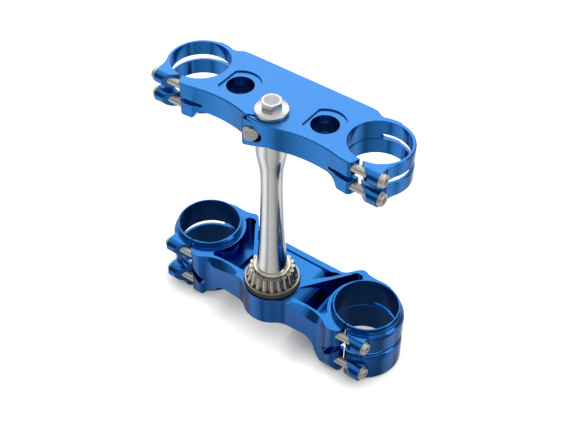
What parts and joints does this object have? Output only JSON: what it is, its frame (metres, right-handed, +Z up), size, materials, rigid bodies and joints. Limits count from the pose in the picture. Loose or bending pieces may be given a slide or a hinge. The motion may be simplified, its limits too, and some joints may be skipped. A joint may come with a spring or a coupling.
{
  "type": "motorcycle triple clamp",
  "caption": "Upper and lower fork clamps joined by a steering stem with its lower taper roller bearing; split rings with pinch screws grip the fork tubes.",
  "frame": {"origin": "on the steering stem's axis, level with the undersides of the two lower clamp rings, on which the set stands", "axes": "+Z up the stem to the top clamp, +Y towards the forward side where the fork tubes are offset, +X across the bike"},
  "size_m": [0.2596, 0.0903, 0.2765],
  "materials": {
    "blue_anodised": "satin blue anodised",
    "stem_silver": "turned satin",
    "bolt_steel": "satin turned steel",
    "zinc_screw": "matt zinc plated",
    "bearing_steel": "ground bearing steel",
    "cage_steel": "pressed sheet steel",
    "seal_rubber": "matt moulded rubber"
  },
  "bodies": {
    "clamp_set": {"top_clamp": "blue_anodised", "lower_clamp": "blue_anodised", "steering_stem": "stem_silver", "stem_bolt": "bolt_steel", "stem_pinch_screw": "zinc_screw", "bearing_inner_race": "bearing_steel", "bearing_seal": "seal_rubber", "pinch_screw_top_upper_left": "zinc_screw", "pinch_screw_top_upper_right": "zinc_screw", "pinch_screw_top_lower_left": "zinc_screw", "pinch_screw_top_lower_right": "zinc_screw", "pinch_screw_low_upper_left": "zinc_screw", "pinch_screw_low_upper_right": "zinc_screw", "pinch_screw_low_lower_left": "zinc_screw", "pinch_screw_low_lower_right": "zinc_screw"},
    "bearing_rollers": {"bearing_cage": "cage_steel", "bearing_roller_01": "bearing_steel", "bearing_roller_02": "bearing_steel", "bearing_roller_03": "bearing_steel", "bearing_roller_04": "bearing_steel", "bearing_roller_05": "bearing_steel", "bearing_roller_06": "bearing_steel", "bearing_roller_07": "bearing_steel", "bearing_roller_08": "bearing_steel", "bearing_roller_09": "bearing_steel", "bearing_roller_10": "bearing_steel", "bearing_roller_11": "bearing_steel", "bearing_roller_12": "bearing_steel", "bearing_roller_13": "bearing_steel", "bearing_roller_14": "bearing_steel", "bearing_roller_15": "bearing_steel", "bearing_roller_16": "bearing_steel", "bearing_roller_17": "bearing_steel", "bearing_roller_18": "bearing_steel", "bearing_roller_19": "bearing_steel", "bearing_roller_20": "bearing_steel"}
  },
  "joints": [
    {"name": "bearing_spin", "type": "hinge", "parent": "clamp_set", "child": "bearing_rollers", "pos_m": [0, 0, 0.0705], "axis": [0, 0, 1], "continuous": true}
  ]
}
